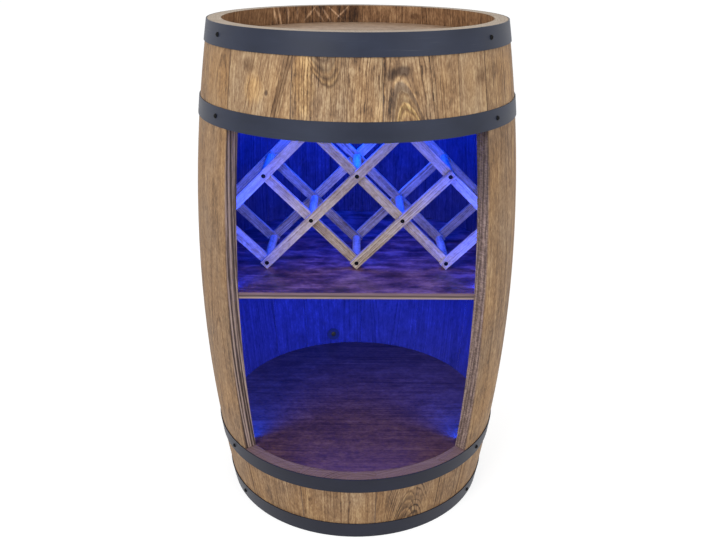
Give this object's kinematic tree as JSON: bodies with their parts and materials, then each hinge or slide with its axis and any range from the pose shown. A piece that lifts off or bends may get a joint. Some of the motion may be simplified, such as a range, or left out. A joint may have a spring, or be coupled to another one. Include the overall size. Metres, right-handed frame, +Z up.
{
  "type": "barrel bar cabinet",
  "caption": "Bowed stave barrel with steel hoops, open at the front, with a bottle rack on a shelf, a floor below and LED strips at the jambs.",
  "frame": {"origin": "floor level, under the middle of the cabinet's outline; the barrel's own axis is 6.9 mm nearer the front", "axes": "+Z up along the barrel, the open front faces -Y, +X to the right seen from the front"},
  "size_m": [0.524, 0.5101, 0.8],
  "materials": {
    "stave_wood": "brushed softwood with raised grain, brown stain, satin",
    "head_wood": "brown stained boards, satin varnish",
    "panel_wood": "reddish brown stained panel, satin varnish",
    "cleat_wood": "sawn softwood",
    "rack_wood": "bare planed softwood",
    "hoop_steel": "satin slate paint",
    "rivet_steel": "satin slate paint",
    "black_screw": "black phosphate, satin",
    "led_sleeve": "clear silicone sleeve over a white strip, lit blue",
    "led_chip": "lit blue",
    "lead_sleeve": "white flat lead",
    "control_plastic": "fine texture, black",
    "grommet_rubber": "matt black"
  },
  "bodies": {
    "root": {"back_stave_left": "stave_wood", "back_stave_middle": "stave_wood", "back_stave_right": "stave_wood", "bottom_head_back_board": "head_wood", "bottom_head_front_board": "head_wood", "bottom_head_middle_board": "head_wood", "bottom_hoop": "hoop_steel", "bottom_stave_1": "stave_wood", "bottom_stave_2": "stave_wood", "bottom_stave_3": "stave_wood", "bottom_stave_4": "stave_wood", "cleat_screws": "black_screw", "floor_board": "panel_wood", "hoop_rivets": "rivet_steel", "hoop_screws": "black_screw", "jamb_stave_left": "stave_wood", "jamb_stave_right": "stave_wood", "led_chips": "led_chip", "led_control_box": "control_plastic", "led_feed_lead": "lead_sleeve", "led_strip_left": "led_sleeve", "led_strip_right": "led_sleeve", "led_strip_top": "led_sleeve", "lower_hoop": "hoop_steel", "middle_shelf": "panel_wood", "panel_cleats": "cleat_wood", "rack_back_falling_corner": "rack_wood", "rack_back_falling_long": "rack_wood", "rack_back_falling_middle": "rack_wood", "rack_back_falling_outer": "rack_wood", "rack_back_rising_corner": "rack_wood", "rack_back_rising_long": "rack_wood", "rack_back_rising_middle": "rack_wood", "rack_back_rising_outer": "rack_wood", "rack_bars": "rack_wood", "rack_front_falling_corner": "rack_wood", "rack_front_falling_long": "rack_wood", "rack_front_falling_middle": "rack_wood", "rack_front_falling_outer": "rack_wood", "rack_front_rising_corner": "rack_wood", "rack_front_rising_long": "rack_wood", "rack_front_rising_middle": "rack_wood", "rack_front_rising_outer": "rack_wood", "rack_screws": "black_screw", "side_stave_left_1": "stave_wood", "side_stave_left_2": "stave_wood", "side_stave_left_3": "stave_wood", "side_stave_right_1": "stave_wood", "side_stave_right_2": "stave_wood", "side_stave_right_3": "stave_wood", "supply_grommet": "grommet_rubber", "top_head_back_board": "head_wood", "top_head_front_board": "head_wood", "top_head_middle_board": "head_wood", "top_hoop": "hoop_steel", "top_stave_1": "stave_wood", "top_stave_2": "stave_wood", "top_stave_3": "stave_wood", "top_stave_4": "stave_wood", "upper_hoop": "hoop_steel"}
  },
  "joints": []
}
